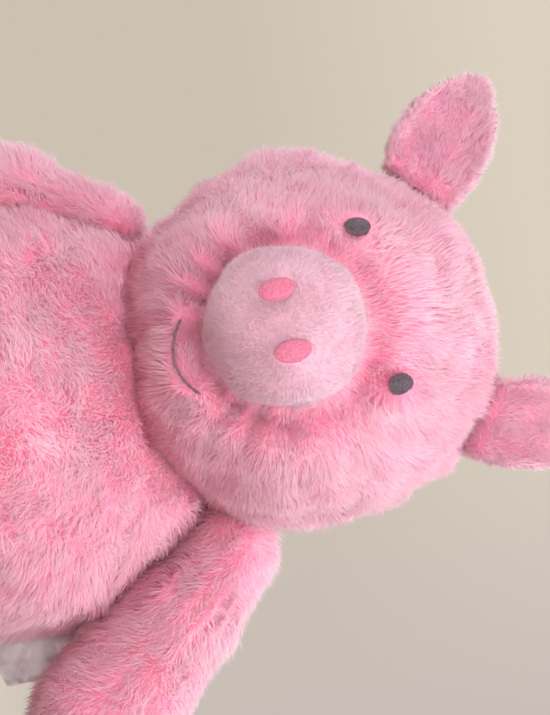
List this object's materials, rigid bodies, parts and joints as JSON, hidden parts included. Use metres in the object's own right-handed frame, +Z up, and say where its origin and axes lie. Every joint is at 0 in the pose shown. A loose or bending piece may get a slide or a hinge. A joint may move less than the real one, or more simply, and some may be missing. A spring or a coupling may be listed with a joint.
{
  "type": "plush pig",
  "caption": "Stuffed plush pig sitting upright, with a round head, a disc snout, cupped ears, stubby arms and legs and a curly tail.",
  "frame": {"origin": "on the surface that the pig sits on, under the middle of its torso", "axes": "+Z up, -Y the way the pig faces, +X to the pig's left"},
  "size_m": [0.2906, 0.254, 0.3203],
  "materials": {
    "plush": "long pile",
    "snout": "short pile",
    "lining": "short pile",
    "nostril": "satin stitch",
    "thread": "satin stitch",
    "fibre": "loose fibre",
    "label": "satin"
  },
  "bodies": {
    "torso": {"torso_skin": "plush", "torso_fill": "fibre", "side_label": "label"},
    "head": {"head_skin": "plush", "head_fill": "fibre", "snout_skin": "snout", "snout_fill": "fibre", "eye_left": "thread", "eye_right": "thread", "nostril_left": "nostril", "nostril_right": "nostril", "mouth_stitch": "thread"},
    "ear_left": {"ear_left": "plush", "ear_lining_left": "lining"},
    "arm_left": {"arm_skin_left": "plush", "arm_fill_left": "fibre"},
    "leg_left": {"leg_skin_left": "plush", "leg_fill_left": "fibre", "sole_left": "snout"},
    "ear_right": {"ear_right": "plush", "ear_lining_right": "lining"},
    "arm_right": {"arm_skin_right": "plush", "arm_fill_right": "fibre"},
    "leg_right": {"leg_skin_right": "plush", "leg_fill_right": "fibre", "sole_right": "snout"},
    "tail": {"tail": "plush"}
  },
  "joints": [
    {"name": "neck_nod", "type": "hinge", "parent": "torso", "child": "head", "pos_m": [0, 0, 0.108], "axis": [1, 0, 0], "range_deg": [-12, 12], "stiffness_Nm_per_rad": 2},
    {"name": "arm_raise_left", "type": "hinge", "parent": "torso", "child": "arm_left", "pos_m": [0.05304, 0, 0.1496], "axis": [0, -1, 0], "range_deg": [0, 10], "stiffness_Nm_per_rad": 0.05},
    {"name": "arm_raise_right", "type": "hinge", "parent": "torso", "child": "arm_right", "pos_m": [-0.05715, 0, 0.14729], "axis": [0, 1, 0], "range_deg": [0, 30], "stiffness_Nm_per_rad": 0.05},
    {"name": "leg_lift_left", "type": "hinge", "parent": "torso", "child": "leg_left", "pos_m": [0.05662, -0.05565, 0.0625], "axis": [-0.9063, -0.4226, 0], "range_deg": [0, 45], "stiffness_Nm_per_rad": 0.05},
    {"name": "leg_lift_right", "type": "hinge", "parent": "torso", "child": "leg_right", "pos_m": [-0.05662, -0.05565, 0.0625], "axis": [-0.9063, 0.4226, 0], "range_deg": [0, 45], "stiffness_Nm_per_rad": 0.05},
    {"name": "ear_flop_left", "type": "hinge", "parent": "head", "child": "ear_left", "pos_m": [0.03309, -0.018, 0.27019], "axis": [0.8192, 0, -0.5736], "range_deg": [-25, 25], "stiffness_Nm_per_rad": 0.05},
    {"name": "ear_flop_right", "type": "hinge", "parent": "head", "child": "ear_right", "pos_m": [-0.06075, -0.018, 0.26198], "axis": [0.7071, 0, 0.7071], "range_deg": [-25, 25], "stiffness_Nm_per_rad": 0.05},
    {"name": "tail_wag", "type": "hinge", "parent": "torso", "child": "tail", "pos_m": [0, 0.07363, 0.06], "axis": [0, 0, 1], "range_deg": [-18, 18], "stiffness_Nm_per_rad": 0.02}
  ]
}
